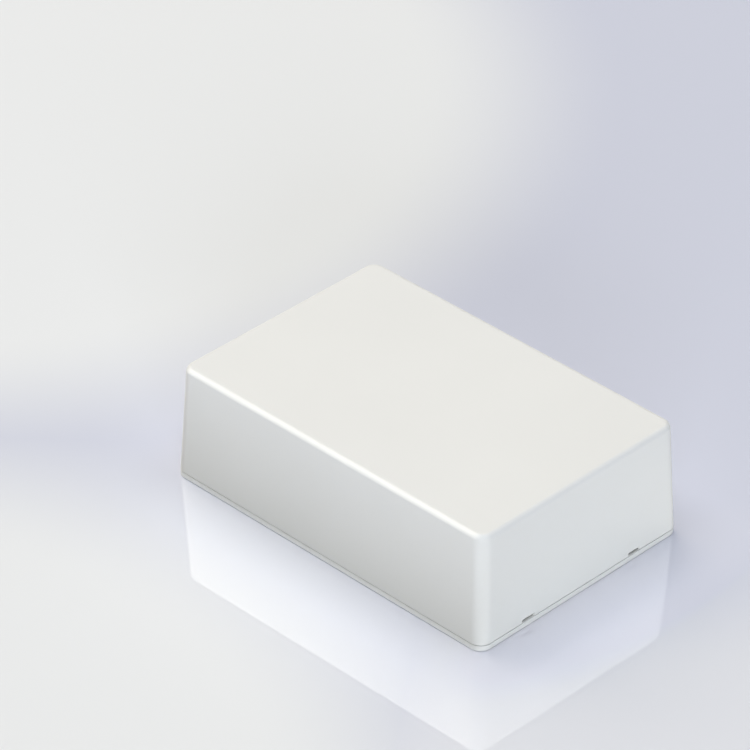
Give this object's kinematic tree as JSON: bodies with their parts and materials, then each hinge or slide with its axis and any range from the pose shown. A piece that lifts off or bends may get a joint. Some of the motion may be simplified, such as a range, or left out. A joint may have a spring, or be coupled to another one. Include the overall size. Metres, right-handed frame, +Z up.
{
  "type": "plastic project box",
  "caption": "Snap-fit plastic project box: a deep tapered cover with rounded corners and pry slots over a thin base plate with snap hooks, locating lip and circuit board posts.",
  "frame": {"origin": "middle of the underside, on the surface that the case rests on", "axes": "+X along the length, +Y along the width, +Z up through the roof"},
  "size_m": [0.1256, 0.0844, 0.0387],
  "materials": {
    "cover_plastic": "warm white ABS, fine satin moulded surface",
    "base_plastic": "warm white ABS, fine satin moulded surface"
  },
  "bodies": {
    "base": {"base": "base_plastic"},
    "cover": {"cover": "cover_plastic"}
  },
  "joints": [
    {"name": "cover_lift", "type": "slide", "parent": "base", "child": "cover", "axis": [0, 0, 1], "range_m": [0, 0.05]}
  ]
}
